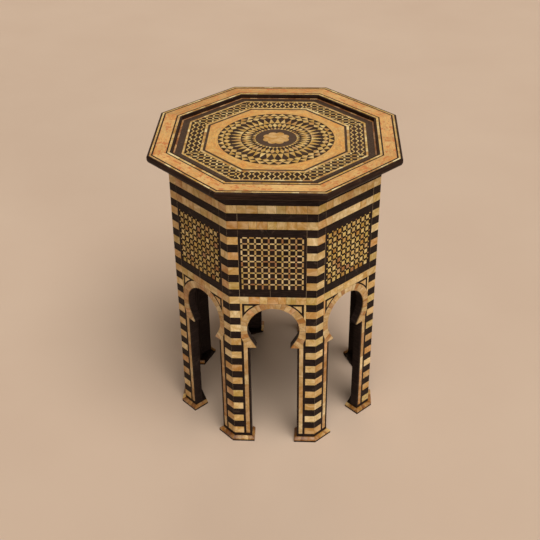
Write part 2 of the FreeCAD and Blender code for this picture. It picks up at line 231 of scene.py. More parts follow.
# The top's dark pieces and disc: brown veneer, lighter and warmer than the boards' ebony partly as painted
# sheen
TRAY_EBONY_AND_SHEEN = (((59, 43, 33), 3), ((53, 38, 29), 3), ((66, 49, 38), 2))
DISC_EBONY_AND_SHEEN = (((77, 59, 46), 1),)
ROSETTE_BONE = (((193, 147, 81), 1),)
GLUE = (((146, 124, 96), 2), ((112, 92, 70), 2), ((78, 62, 48), 1))
RAIL_BROWN = (((40, 24, 17), 1),)

# How far a piece's lightness strays from its palette's colour, either way
USUAL_STRAY = 0.07
INLAY_STRAY = 0.09
LATTICE_STRAY = 0.1
LATTICE_DARK_STRAY = 0.15
MOULDING_STRAY = 0.12
BANDING_STRAY = 0.02
FIELD_STRAY = 0.03
WAVE_STRAY = 0.06
RAY_STRAY = 0.08
RAY_DARK_STRAY = 0.12

# Colours that the materials mix in, and those of the floor with their places on its ramp
WORN = (130, 86, 48)
SCUFFED = (124, 104, 86)
# Pale gold mixed into the tan veneers as scattered spots: painted glints
PAINTED_GLINT = (232, 196, 134)
FLOOR_TONES = ((0.3, (202, 177, 155)), (0.7, (206, 182, 160)))


# Plan and face geometry

def linear(colour):
    """Colour from 0 to 255 a channel, as the renderer wants it."""
    return tuple(
        c / 255 / 12.92 if c <= 10 else ((c / 255 + 0.055) / 1.055) ** 2.4 for c in colour)


def opaque(colour):
    return linear(colour) + (1.0,)


def tint(palette, stray=USUAL_STRAY):
    """A colour of the palette, a little lighter or darker each time."""
    colours = [colour for colour, _ in palette]
    weights = [weight for _, weight in palette]
    shade = 1 + random.uniform(-stray, stray)
    return tuple(channel * shade for channel in linear(random.choices(colours, weights)[0])) + (1.0,)


def turn(steps):
    return Matrix.Rotation(math.radians(steps * SECTOR), 3, "Z")


def on_face(number):
    """Places (along, up, outwards) on a side board, kept inside the mitred corners."""
    matrix = turn(number)

    def place(u, v, w):
        reach = (BODY_APOTHEM + w) * MITRE
        return matrix @ Vector((max(-reach, min(reach, u)), -BODY_APOTHEM - w, v))
    return place


def on_corner(number):
    """Places (across, up, outwards) on the edge between a side board and the next."""
    matrix = turn(number + 0.5)

    def place(u, v, w):
        return matrix @ Vector((u, -CORNER_DISTANCE - w, v))
    return place


def on_top(number):
    """Places plan points of the first side on another side of the top."""
    matrix = turn(number)

    def place(u, v, w):
        return matrix @ Vector((u, v, w))
    return place


def area(outline):
    """Area of a flat outline, positive where it runs anticlockwise."""
    pairs = zip(outline, outline[1:] + outline[:1])
    return sum(a[0] * b[1] - b[0] * a[1] for a, b in pairs) / 2


def tidy(outline):
    """The outline without doubled points, running anticlockwise."""
    kept = [p for i, p in enumerate(outline) if math.dist(p, outline[i - 1]) > SAME_POINT]
    return kept if area(kept) > 0 else kept[::-1]


def inset(outline, amount):
    """The outline with every side moved inwards by that much."""
    moved = []
    for i, point in enumerate(outline):
        here = Vector(point)
        back = (here - Vector(outline[i - 1])).normalized()
        ahead = (Vector(outline[(i + 1) % len(outline)]) - here).normalized()
        normals = Vector((-back.y - ahead.y, back.x + ahead.x))
        share = max(1 + back.dot(ahead), SHARPEST_SHARE)
        moved.append(tuple(here + normals * amount / share))
    return moved


def clip(outline, limits):
    """What of a convex outline lies where x * a + y * b <= c, for every limit (a, b, c)."""
    for a, b, c in limits:
        kept = []
        for i, point in enumerate(outline):
            before = outline[i - 1]
            here_over = point[0] * a + point[1] * b - c
            before_over = before[0] * a + before[1] * b - c
            if (here_over > 0) != (before_over > 0):
                share = before_over / (before_over - here_over)
                kept.append(tuple(p + (q - p) * share for p, q in zip(before, point)))
            if here_over <= 0:
                kept.append(point)
        outline = kept
    return outline


def rectangle(u_low, u_high, v_low, v_high):
    return [(u_low, v_low), (u_high, v_low), (u_high, v_high), (u_low, v_high)]


def square_at(centre, width, height):
    """A cell of a lattice, a little off its place, as hand-cut ones are."""
    u, v = (value + random.uniform(-HAND_PLAY, HAND_PLAY) for value in centre)
    return rectangle(u - width / 2, u + width / 2, v - height / 2, v + height / 2)


def mirrored(outline):
    return [(-u, v) for u, v in outline]


def polar(centre, radius, angle):
    return (centre[0] + radius * math.cos(angle), centre[1] + radius * math.sin(angle))


def arc(centre, radius, start, end, steps):
    """Points along an arc, with its angles in degrees."""
    angles = [math.radians(start + (end - start) * i / steps) for i in range(steps + 1)]
    return [polar(centre, radius, angle) for angle in angles]


def cuts(low, high, count, play):
    """Ends and joints of a row of pieces that aren't all of one length."""
    step = (high - low) / count
    inner = [low + step * i + random.uniform(-play, play) for i in range(1, count)]
    return [low] + inner + [high]


# Meshes

class Pieces:
    """Small closed pieces gathered into one mesh, each with a tint and its own place in the grain."""

    def __init__(self):
        self.points = []
        self.faces = []
        self.tints = []
        self.grains = []

    def rings(self, rings, tints, grains):
        """A closed piece through rings with as many points each, a tint to a ring, capped at both ends."""
        first = len(self.points)
        count = len(rings[0])
        shift = Vector([random.uniform(0, GRAIN_REACH) for _ in range(3)])
        for ring, colour, places in zip(rings, tints, grains):
            self.points += [point * MM for point in ring]
            self.tints += [colour] * count
            self.grains += [Vector(place) + shift for place in places]
        for level in range(len(rings) - 1):
            low = first + level * count
            for i in range(count):
                j = (i + 1) % count
                self.faces.append((low + i, low + j, low + count + j, low + count + i))
        last = first + (len(rings) - 1) * count
        self.faces.append(tuple(range(last, last + count)))
        self.faces.append(tuple(reversed(range(first, first + count))))

    def tile(self, outline, place, top, bottom, colour, gap=GAP, edge=EDGE, straight=False):
        """A flat tile from bottom up to top, with a fine gap round it and its upper edges eased.

        Its grain runs straight along the outline's first axis, or leans either way and may be turned.
        """
        outline = tidy(outline)
        if len(outline) < 3 or area(outline) < SMALLEST_TILE:
            return
        body = inset(outline, gap)
        levels = ((body, bottom), (body, top - edge), (inset(body, edge), top))
        lean = 0 if straight else math.radians(random.choice((0, 90)) + random.gauss(0, GRAIN_LEAN))
        grain = Matrix.Rotation(lean, 3, "Z")
        rings = [[place(u, v, w) for u, v in ring] for ring, w in levels]
        grains = [[grain @ Vector((u, v, w)) for u, v in ring] for ring, w in levels]
        shaded = tuple(channel * EDGE_SHADE for channel in colour[:3]) + (1.0,) if gap else colour
        self.rings(rings, (shaded, shaded, colour), grains)

    def finish(self, name, material, slot, *stands_for):
        mesh = bpy.data.meshes.new(name)
        mesh.from_pydata(self.points, [], self.faces)
        colours = mesh.attributes.new("tint", "FLOAT_COLOR", "POINT")
        colours.data.foreach_set("color", [channel for colour in self.tints for channel in colour])
        grain = mesh.attributes.new("grain", "FLOAT_VECTOR", "POINT")
        grain.data.foreach_set("vector", [value for place in self.grains for value in place])
        mesh.materials.append(material)
        piece = bpy.data.objects.new(name, mesh)
        bpy.context.scene.collection.objects.link(piece)
        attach(piece, "root")
        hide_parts(*stands_for)
        return piece


# Materials

class Finish:
    """A procedural material whose pattern follows the mesh's grain attribute or the object's own space."""

    def __init__(self, name, gathered):
        self.material = bpy.data.materials.new(name)
        self.material.use_nodes = True
        self.tree = self.material.node_tree
        self.shader = self.tree.nodes["Principled BSDF"]
        if gathered:
            source = self.tree.nodes.new("ShaderNodeAttribute")
            source.attribute_name = "grain"
            self.place = source.outputs["Vector"]
        else:
            source = self.tree.nodes.new("ShaderNodeTexCoord")
            self.place = self.scaled(source.outputs["Object"], (1 / MM, 1 / MM, 1 / MM))

    def node(self, kind, **inputs):
        """A node with its inputs set by name, to a number or from another node's output."""
        made = self.tree.nodes.new(kind)
        for name, value in inputs.items():
            self.feed(made.inputs[name.replace("_", " ")], value)
        return made

    def feed(self, socket, value):
        if isinstance(value, bpy.types.NodeSocket):
            self.tree.links.new(value, socket)
        else:
            socket.default_value = value

    def scaled(self, vector, scale):
        made = self.tree.nodes.new("ShaderNodeVectorMath")
        made.operation = "MULTIPLY"
        self.feed(made.inputs[0], vector)
        self.feed(made.inputs[1], scale)
        return made.outputs[0]

    def noise(self, scale, detail=4.0, distortion=0.0):
        """Noise with its size set along, across and through the grain, as features in each millimetre."""
        made = self.node(
            "ShaderNodeTexNoise", Vector=self.scaled(self.place, scale), Scale=1.0, Detail=detail,
            Distortion=distortion)
        return made.outputs["Fac"]

    def spread(self, value, low, high, start=0.3, end=0.7):
        """The value's range from start to end, stretched to run from low to high."""
        made = self.node(
            "ShaderNodeMapRange", Value=value, From_Min=start, From_Max=end, To_Min=low, To_Max=high)
        return made.outputs["Result"]

    def ramp(self, value, stops):
        made = self.node("ShaderNodeValToRGB", Fac=value)
        elements = made.color_ramp.elements
        while len(elements) < len(stops):
            elements.new(0.5)
        for element, (position, colour) in zip(elements, stops):
            element.position = position
            element.color = opaque(colour)
        return made.outputs["Color"]

    def mix(self, factor, first, second):
        made = self.tree.nodes.new("ShaderNodeMix")
        made.data_type = "RGBA"
        self.feed(made.inputs["Factor"], factor)
        self.feed(made.inputs[6], first)
        self.feed(made.inputs[7], second)
        return made.outputs[2]

    def toned(self, colour, hue=0.5, saturation=1.0, value=1.0):
        made = self.node(
            "ShaderNodeHueSaturation", Hue=hue, Saturation=saturation, Value=value, Color=colour)
        return made.outputs["Color"]

    def tinted(self):
        source = self.tree.nodes.new("ShaderNodeAttribute")
        source.attribute_name = "tint"
        return source.outputs["Color"]

    def bump(self, height, distance, strength=1.0):
        made = self.node("ShaderNodeBump", Height=height, Distance=distance, Strength=strength)
        return made.outputs["Normal"]

    def surface(self, colour, roughness, normal, coat=0.0, coat_roughness=0.2, specular=0.5):
        self.feed(self.shader.inputs["Base Color"], colour)
        self.feed(self.shader.inputs["Roughness"], roughness)
        self.feed(self.shader.inputs["Normal"], normal)
        self.shader.inputs["Coat Weight"].default_value = coat
        self.shader.inputs["Coat Roughness"].default_value = coat_roughness
        self.shader.inputs["Specular IOR Level"].default_value = specular
        return self.material


def bone(name, coat, rough):
    """Tesserae of bone and pale wood: streaked, cloudy, speckled, and each of its own colour."""
    finish = Finish(name, True)
    clouds = finish.noise((0.07, 0.1, 0.07), 3.0, 0.8)
    streaks = finish.noise((0.11, 0.85, 0.5), 4.0, 0.7)
    specks = finish.noise((1.4, 2.4, 1.6), 2.0)
    colour = finish.toned(
        finish.tinted(),
        hue=finish.spread(clouds, 0.496, 0.504, 0.36, 0.64),
        saturation=finish.spread(clouds, 1.12, 0.9, 0.36, 0.64),
        value=finish.spread(clouds, 0.82, 1.13, 0.36, 0.64))
    colour = finish.toned(colour, value=finish.spread(streaks, 0.86, 1.1, 0.34, 0.66))
    worn = finish.spread(specks, 0.0, 0.35, 0.6, 0.8)
    colour = finish.mix(worn, colour, opaque(WORN))
    roughness = finish.spread(specks, rough - 0.06, rough + 0.1)
    normal = finish.bump(streaks, 0.00012, 0.5)
    return finish.surface(colour, roughness, normal, coat, 0.25, 0.3)


def ebony_tiles(name):
    """Small dark tesserae, each a little different."""
    finish = Finish(name, True)
    fibres = finish.noise((0.16, 1.6, 1.0), 3.0)
    colour = finish.toned(finish.tinted(), value=finish.spread(fibres, 0.76, 1.3))
    normal = finish.bump(fibres, 0.0001, 0.5)
    return finish.surface(colour, finish.spread(fibres, 0.36, 0.5), normal, specular=0.03)


def dark_wood(name, along, gathered, tones, rough, coat, specular=0.05):
    """Stained wood with fibres, pores, faint scuffs and slow changes of tone.

    Along is the grain's stretch by axis, and tones are the colours of its deep, middle and pale fibres.
    """
    finish = Finish(name, gathered)
    deep, middle, pale = tones
    fibres = finish.noise(tuple(axis * 1.1 for axis in along), 5.0, 0.4)
    pores = finish.noise(tuple(axis * 3.2 for axis in along), 2.0)
    clouds = finish.noise((0.016, 0.016, 0.016), 3.0)
    scuffs = finish.noise((0.045, 0.045, 0.045), 7.0, 1.2)
    colour = finish.ramp(fibres, ((0.3, deep), (0.52, middle), (0.74, pale)))
    colour = finish.toned(colour, value=finish.spread(clouds, 0.8, 1.22))
    colour = finish.mix(finish.spread(pores, 0.0, 0.6, 0.58, 0.72), colour, opaque(deep))
    colour = finish.mix(finish.spread(scuffs, 0.0, 0.3, 0.63, 0.76), colour, opaque(SCUFFED))
    roughness = finish.spread(clouds, rough - 0.05, rough + 0.08)
    normal = finish.bump(pores, 0.00015, 0.4)
    return finish.surface(colour, roughness, normal, coat, 0.16, specular)


def flecked(name, fleck, start, most, streak):
    """Tan veneer, streaked and cloudy, with scattered flecks that run along its grain.

    Flecks show where their noise passes start, up to the share most. Streak is how far streaks stray.
    """
    finish = Finish(name, True)
    clouds = finish.noise((0.03, 0.07, 0.05), 4.0, 0.6)
    mottle = finish.noise((0.1, 0.36, 0.3), 4.0, 1.0)
    grain = finish.noise((0.3, 1.6, 1.0), 3.0, 0.3)
    flecks = finish.noise((0.11, 0.2, 0.1), 2.0, 0.4)
    # Where the painted glints show
    painted_glints = finish.noise((0.3, 0.5, 0.4), 2.0, 0.4)
    colour = finish.toned(
        finish.tinted(),
        hue=finish.spread(clouds, 0.491, 0.508, 0.35, 0.65),
        saturation=finish.spread(clouds, 1.08, 0.95),
        value=finish.spread(mottle, 1 - streak, 1 + streak, 0.36, 0.64))
    colour = finish.toned(colour, value=finish.spread(grain, 0.93, 1.06))
    # Scattered bright spots: painted glints
    colour = finish.mix(finish.spread(painted_glints, 0.0, 0.5, 0.62, 0.7), colour, opaque(PAINTED_GLINT))
    worn = finish.spread(flecks, 0.0, most, start, start + 0.05)
    colour = finish.mix(worn, colour, opaque(fleck))
    roughness = finish.spread(mottle, 0.32, 0.46)
    return finish.surface(colour, roughness, finish.bump(grain, 0.00012, 0.4), 0.15, 0.2, 0.35)


def floor_finish():
    finish = Finish("pale_floor", False)
    clouds = finish.noise((0.003, 0.003, 0.003), 4.0)
    grit = finish.noise((0.25, 0.25, 0.25), 3.0)
    colour = finish.ramp(clouds, FLOOR_TONES)
    roughness = finish.spread(clouds, 0.8, 0.9)
    return finish.surface(colour, roughness, finish.bump(grit, 0.0002, 0.2), specular=0.0)


BONE_TILES = bone("bone_tesserae", 0.07, 0.4)
GLOSSY_BONE = bone("glossy_bone", 0.15, 0.36)
DARK_TILES = ebony_tiles("dark_tesserae")
TAN_BANDING = flecked("tan_banding", (190, 106, 46), 0.56, 0.85, 0.13)
TAN_FIELD = flecked("tan_field", (188, 114, 52), 0.55, 0.5, 0.18)
EBONISED = dark_wood(
    "ebonised_board", (0.06, 0.06, 0.6), False, ((25, 18, 15), (38, 28, 24), (54, 41, 35)), 0.4, 0.0)
# Dark borders of the tray: brown veneer, lighter partly as painted sheen
DARK_VENEER_AND_SHEEN = dark_wood(
    "dark_veneer", (0.3, 0.3, 0.3), False, ((56, 41, 31), (71, 54, 42), (83, 64, 50)), 0.4, 0.0)
RIM_WOOD = dark_wood(
    "rim_wood", (0.05, 0.6, 0.6), True, ((27, 17, 12), (43, 28, 21), (59, 40, 30)), 0.4, 0.0, 0.06)
BASE_WOOD = dark_wood(
    "base_wood", (0.3, 0.3, 0.3), False, ((20, 13, 10), (32, 21, 16), (46, 31, 24)), 0.42, 0.1)
INNER_WOOD = dark_wood(
    "inner_wood", (0.05, 0.5, 0.5), False, ((58, 36, 22), (84, 55, 34), (108, 74, 47)), 0.6, 0.0)


# Side boards

def ring_outer(angle):
    """Distance from the arch's centre to the ring's outer edge, stopped by column, band, leg and cusp."""
    cosine = max(abs(math.cos(angle)), TINY)
    sine = math.sin(angle)
    reach = RING_RADIUS
    if sine < 0:
        reach = max(reach, FILLET_OUTER / cosine)
        reach = min(reach, CUSP_DROP / -sine)
    else:
        reach = min(reach, (ARCADE_BOTTOM - ARCH_CENTRE) / max(sine, TINY))
    return min(reach, HALF_PANEL / cosine)


def ring_inner(angle):
    """Distance from the arch's centre to its edge: round, then straight down to the cusp."""
    below = math.radians(-CUSP_ANGLE)
    folded = math.atan2(math.sin(angle), abs(math.cos(angle)))
    return ARCH_RADIUS if folded >= below else ARCH_RADIUS / math.cos(folded - below)


def ring_corners():
    """Angles at which the ring's outer edge turns a corner, on both halves."""
    angles = [
        math.acos(HALF_PANEL / RING_RADIUS),
        -math.acos(HALF_PANEL / RING_RADIUS),
        -math.acos(FILLET_OUTER / RING_RADIUS),
        -math.atan2(CUSP_DROP, FILLET_OUTER),
        math.asin((ARCADE_BOTTOM - ARCH_CENTRE) / RING_RADIUS),
    ]
    return angles + [math.pi - angle for angle in angles]


def from_arch(radius, angle):
    return polar((0, ARCH_CENTRE), radius, angle)


def voussoir(start, end):
    """Outline of one tile of the ring between two angles."""
    steps = max(2, round(math.degrees(end - start) / ARC_STEP))
    angles = [start + (end - start) * i / steps for i in range(steps + 1)]
    turns = [angle for angle in ring_corners() if start < angle < end]
    outer = [from_arch(ring_outer(angle), angle) for angle in sorted(angles + turns)]
    inner = [from_arch(ring_inner(angle), angle) for angle in reversed(angles)]
    return outer + inner


def ring_joints():
    """Angles of the joints between the ring's tiles, from one cusp round to the other."""
    lean = math.radians(CUSP_ANGLE)
    cusp_offset = (ARCH_RADIUS - CUSP_DROP * math.sin(lean)) / math.cos(lean)
    tip = math.atan2(-CUSP_DROP, cusp_offset)
    count = round((2 * CUSP_ANGLE + TURN / 2) / VOUSSOIR)
    play = math.radians(VOUSSOIR_PLAY)
    round_part = cuts(-lean, math.pi + lean, count, play)
    first = cuts(tip, -lean, CUSP_TILES, play)
    last = cuts(math.pi + lean, math.pi - tip, CUSP_TILES, play)
    return first[:-1] + round_part + last[1:]


def stripe(number):
    low = FIRST_STRIPE_HEIGHT + number * STRIPE_PITCH
    return low, low + STRIPE_HEIGHT


def on_circle(offset, radius):
    return ARCH_CENTRE + math.sqrt(radius ** 2 - offset ** 2)


def corner_and_band_outlines():
    """Outlines of the tiles at the corners and in the bands across the face."""
    outlines = []
    for number in range(STRIPE_COUNT):
        low, high = stripe(number)
        block = rectangle(HALF_PANEL, HALF_FACE, low, high)
        outlines += [block, mirrored(block)]
        if number in BANDS:
            joints = cuts(-HALF_PANEL, HALF_PANEL, BAND_TILES, BAND_TILE_PLAY)
            outlines += [rectangle(a, b, low, high) for a, b in zip(joints, joints[1:])]
    return outlines


def fillet_outlines():
    """Outlines of the long fillets on the legs, in lengths that differ."""
    outlines = []
    for side in (-1, 1):
        joints = cuts(FIRST_STRIPE_HEIGHT, ARCH_CENTRE - CUSP_DROP, FILLET_TILES, FILLET_TILE_PLAY)
        for a, b in zip(joints, joints[1:]):
            outlines.append([(side * u, v) for u, v in rectangle(ARCH_RADIUS, FILLET_OUTER, a, b)])
    return outlines


def upright_outline():
    """Thin line between the ring and the band, beside the corner column."""
    bottom = [(UPRIGHT_INNER, on_circle(UPRIGHT_INNER, RING_RADIUS)),
              (HALF_PANEL, on_circle(HALF_PANEL, RING_RADIUS))]
    return bottom + [(HALF_PANEL, ARCADE_BOTTOM), (UPRIGHT_INNER, ARCADE_BOTTOM)]


def spandrel_outline():
    """Three-cornered piece whose long side follows the ring."""
    start = math.degrees(math.acos(SPANDREL_OUTER / SPANDREL_RADIUS))
    end = math.degrees(math.asin((SPANDREL_TOP - ARCH_CENTRE) / SPANDREL_RADIUS))
    long_side = arc((0, ARCH_CENTRE), SPANDREL_RADIUS, start, end, SPANDREL_STEPS)
    return [(SPANDREL_OUTER, SPANDREL_TOP)] + long_side[::-1]


def inlay_face(number):
    """All the pale tiles of a face except the lattice."""
    outlines = corner_and_band_outlines() + [upright_outline(), mirrored(upright_outline())]
    outlines += [spandrel_outline(), mirrored(spandrel_outline())]
    joints = ring_joints()
    ring = [voussoir(a, b) for a, b in zip(joints, joints[1:])]
    tiles = Pieces()
    for shapes, palette in ((outlines, BONE), (ring + fillet_outlines(), RING_BONE)):
        for outline in shapes:
            tiles.tile(outline, on_face(number), 0, -POCKET, tint(palette, INLAY_STRAY))
    label = str(number + 1)
    tiles.finish("inlay_tiles_" + label, BONE_TILES, "pale_tesserae", "face_inlay_" + label)


def glue_lines(number):
    """Fine pale joints that show in the dark stripes beside the columns and along the corner."""
    tiles = Pieces()

    def line(offset, low, high, place, top):
        outline = rectangle(offset - GLUE_WIDTH / 2, offset + GLUE_WIDTH / 2, low, high)
        tiles.tile(outline, place, top, -POCKET, tint(GLUE), 0, GLUE_PROUD)

    dark_ends = [stripe(i)[0] for i in range(1, STRIPE_COUNT)]
    for index, high in enumerate(dark_ends):
        low = stripe(index)[1]
        line(0, low, high, on_corner(number), -ARRIS_SUNK)
        if index >= BANDS[0]:
            line(-HALF_PANEL, low, high, on_face(number), GLUE_PROUD)
            line(HALF_PANEL, low, high, on_face(number), GLUE_PROUD)
        if index == BANDS[0]:
            line(MIDDLE_JOINT, low, high, on_face(number), GLUE_PROUD)
    tiles.finish("joint_lines_" + str(number + 1), BONE_TILES, "ebonised_board")


def lattice(start, count, pitch, dash_width, crossing, below_last):
    """Dashes, cells and crossings of a lattice as {kind: outlines}. Rows run from the top down."""
    found = {"dash": [], "cell": [], "crossing": []}
    columns = [start[0] + pitch[0] * i for i in range(count[0])]
    rows = [start[1] - pitch[1] * j for j in range(count[1])]
    width, height = dash_width
    for i, u in enumerate(columns):
        for j, v in enumerate(rows):
            right, down = i < len(columns) - 1, j < len(rows) - 1 or below_last
            found["crossing"].append(square_at((u, v), crossing * width, crossing * height))
            if down:
                found["dash"].append(square_at((u, v - pitch[1] / 2), width, pitch[1] - height))
            if right:
                found["dash"].append(square_at((u + pitch[0] / 2, v), pitch[0] - width, height))
            if right and down:
                centre = (u + pitch[0] / 2, v - pitch[1] / 2)
                found["cell"].append(square_at(centre, pitch[0] - width, pitch[1] - height))
    return found


def lattice_face(number):
    """A face's lattice. On every second face the dark and the pale pieces change places."""
    if number % 2 == 0:
        dash_width, crossing, pale_kinds, palette = PALE_DASH_WIDTH, 1, ("dash",), LATTICE_BONE
    else:
        dash_width, crossing = DARK_DASH_WIDTH, PALE_CROSSING
        pale_kinds, palette = ("cell", "crossing"), CELL_BONE
    found = lattice(LATTICE_START, LATTICE_COUNT, LATTICE_PITCH, dash_width, crossing, True)
    pale, dark = Pieces(), Pieces()
    low, high = stripe(BANDS[0] + 1)[0], stripe(BANDS[1] - 1)[1]
    ground = rectangle(-FILLET_OUTER, FILLET_OUTER, low, high)
    dark.tile(ground, on_face(number), -GROUND, -POCKET, tint(EBONY, 0))
    for kind, outlines in found.items():
        for outline in outlines:
            if kind in pale_kinds:
                pale.tile(outline, on_face(number), 0, -POCKET, tint(palette, LATTICE_STRAY))
            else:
                colour = tint(EBONY, LATTICE_DARK_STRAY)
                dark.tile(outline, on_face(number), -DARK_SUNK, -POCKET, colour)
    label = str(number + 1)
    dark.finish("lattice_ground_" + label, DARK_TILES, "lattice_dark", "lattice_panel_" + label)
    pale.finish("lattice_tiles_" + label, BONE_TILES, "lattice_pale", "lattice_panel_" + label)


# Feet

def across_corner(point):
    """The point's mirror image on the next face, across the first corner."""
    doubled = math.radians(SECTOR - TURN / 2)
    x, y = point
    return (x * math.cos(doubled) + y * math.sin(doubled), x * math.sin(doubled) - y * math.cos(doubled))


def leg_path(side_gap, front_gap):
    """Plan points round the outside of the first corner's leg, from one inner end to the other."""
    half = [
        (HALF_OPENING - side_gap, FOOT_BEHIND - INNER_APOTHEM),
        (HALF_OPENING - side_gap, -BODY_APOTHEM - front_gap),
    ]
    vertex = ((BODY_APOTHEM + front_gap) * MITRE, -BODY_APOTHEM - front_gap)
    return half + [vertex] + [across_corner(point) for point in reversed(half)]


def foot_section(run, share, paths):
    """The moulding's section part of the way along one run of the path."""
    low, lip, top = FOOT_LEVELS
    leg, wide, narrow = [
        Vector(path[run]).lerp(Vector(path[run + 1]), share) for path in paths]
    along = (narrow - wide).normalized() * FOOT_EASE
    drop = FOOT_EASE * FOOT_EASE_SHARE
    places = [
        (leg, low), (wide, low), (wide, lip - FOOT_EASE), (wide + along, lip + drop),
        (narrow - along, top - drop), (narrow, top), (leg, top)]
    return [Vector((p.x, p.y, z)) for p, z in places]


def foot_tiles(number):
    """The moulding as short pale lengths with mitred corners."""
    paths = [leg_path(0, 0), leg_path(FOOT_SIDE, FOOT_FRONT), leg_path(FOOT_TOP, FOOT_TOP)]
    matrix = turn(number)
    tiles = Pieces()
    for run, count in enumerate(FOOT_TILES):
        joints = cuts(0.0, 1.0, count, FOOT_TILE_PLAY)
        for a, b in zip(joints, joints[1:]):
            ends = [foot_section(run, share, paths) for share in (b - FOOT_JOINT, a + FOOT_JOINT)]
            rings = [[matrix @ point for point in ring] for ring in ends]
            grains = [[(point.z, point.x + point.y, point.x - point.y) for point in ring] for ring in ends]
            tiles.rings(rings, [tint(MOULDING_BONE, MOULDING_STRAY) for _ in ends], grains)
    label = str(number + 1)
    tiles.finish("foot_tiles_" + label, GLOSSY_BONE, "pale_moulding", "foot_moulding_" + label)


# Top

def rail_profile():
    """Section of a rail as (distance, height), with the grooves for its strips and a softened lip."""
    lower = (TOP_APOTHEM - NOSING_LOWER, BODY_TOP + NOSING_LOWER)
    upper = (TOP_APOTHEM - NOSING_UPPER, TABLE_HEIGHT - NOSING_UPPER)
    lip = (TRAY_APOTHEM + LIP_ROUND, TABLE_HEIGHT - LIP_ROUND)
    profile = arc(lower, NOSING_LOWER, -90, 0, NOSING_STEPS[0])
    profile += arc(upper, NOSING_UPPER, 0, 90, NOSING_STEPS[1])
    for outer, inner in (RIM_LINES[0], RIM_BANDING, RIM_LINES[1]):
        profile += [(outer, TABLE_HEIGHT), (outer, TABLE_HEIGHT - GROOVE_DEPTH)]
        profile += [(inner, TABLE_HEIGHT - GROOVE_DEPTH), (inner, TABLE_HEIGHT)]
    profile += arc(lip, LIP_ROUND, 90, 180, LIP_STEPS)
    return profile + [(TRAY_APOTHEM, BOARD_TOP), (REBATE_APOTHEM, BOARD_TOP), (REBATE_APOTHEM, BODY_TOP)]


def rail(number):
    """A rail with a smooth nosing and its ends cut on the mitre."""
    profile = rail_profile()
    matrix = turn(number)
    rings = []
    grains = []
    for side in (1, -1):
        end = [(side * (distance * MITRE - GAP), -distance, z) for distance, z in profile]
        rings.append([matrix @ Vector(point) for point in end])
        grains.append(end)
    wood = Pieces()
    wood.rings(rings, [tint(RAIL_BROWN)] * 2, grains)
    label = str(number + 1)
    piece = wood.finish("rail_" + label, RIM_WOOD, "rim_wood", "rim_rail_" + label)
    piece.data.shade_smooth()
    piece.data.set_sharp_from_angle(angle=math.radians(SHARP_ANGLE))


def strip(
        tiles, number, span, top, bottom, length, palette, stray=USUAL_STRAY, gap=GAP, straight=False):
    """A row of tiles along one side of an octagonal ring, mitred at both ends."""
    outer, inner = span
    half = (outer + inner) / 2 * MITRE
    count = max(1, round(2 * half / length))
    joints = cuts(-half, half, count, length * STRIP_PLAY)
    for index, (a, b) in enumerate(zip(joints, joints[1:])):
        first, last = index == 0, index == count - 1
        outline = [
            (-outer * MITRE if first else a, -outer), (outer * MITRE if last else b, -outer),
            (inner * MITRE if last else b, -inner), (-inner * MITRE if first else a, -inner)]
        tiles.tile(outline, on_top(number), top, bottom, tint(palette, stray), gap, gap, straight)


def rim_strips():
    lines, banding = Pieces(), Pieces()
    bottom = TABLE_HEIGHT - GROOVE_DEPTH
    for number in range(FACES):
        for span in RIM_LINES:
            strip(lines, number, span, TABLE_HEIGHT, bottom, LINE_TILE, STRINGING)
        # Sides away from the front take darker banding: painted shade
        strip(banding, number, RIM_BANDING, TABLE_HEIGHT, bottom, BANDING_TILE, BANDING_WITH_SHADE_BY_SIDE[number],
              BANDING_STRAY, TIGHT, True)
    lines.finish("rim_line_tiles", BONE_TILES, "pale_lines", "rim_lines")
    banding.finish("rim_banding_plates", TAN_BANDING, "tan_banding", "rim_banding")


def tray_strips():
    lines = Pieces()
    for number in range(FACES):
        for span in TRAY_LINES:
            # On those sides the outermost line takes the darker stringing: painted shadow of the rim's
            # wall
            in_wall_shadow = span == TRAY_LINES[0] and number in WALL_SHADOW_SIDES
            palette = WALL_SHADOW_STRINGING if in_wall_shadow else STRINGING
            strip(lines, number, span, TRAY_FLOOR, BOARD_TOP, LINE_TILE, palette)
    lines.finish("tray_line_tiles", BONE_TILES, "pale_lines", "tray_lines")


def field():
    """Tan octagon round the medallion, in eight mitred pieces with their grain along the sides."""
    plates = Pieces()
    half = FIELD_APOTHEM * MITRE
    steps = RAYS // FACES
    first = -RAYS / 2 - steps / 2
    hole = [ray_point(MEDALLION_RADIUS, first + i) for i in range(steps + 1)]
    for number in range(FACES):
        outline = [(-half, -FIELD_APOTHEM), (half, -FIELD_APOTHEM)] + hole[::-1]
        colour = tint(FIELD, FIELD_STRAY)
        plates.tile(outline, on_top(number), TRAY_FLOOR, BOARD_TOP, colour, TIGHT, TIGHT, True)
    plates.finish("tan_field_plates", TAN_FIELD, "tan_banding", "tray_octagon")


def side_limits(number):
    """Limits of one side of the pattern band, for clipping: its two edges and its two mitres."""
    angle = math.radians(number * SECTOR - TURN / 4)
    normal = (math.cos(angle), math.sin(angle))
    along = (-normal[1], normal[0])
    outer, inner = PATTERN_BAND
    limits = [(normal[0], normal[1], outer), (-normal[0], -normal[1], -inner)]
    for side in (-1, 1):
        limits.append((side * along[0] - MITRE * normal[0], side * along[1] - MITRE * normal[1], 0))
    return limits


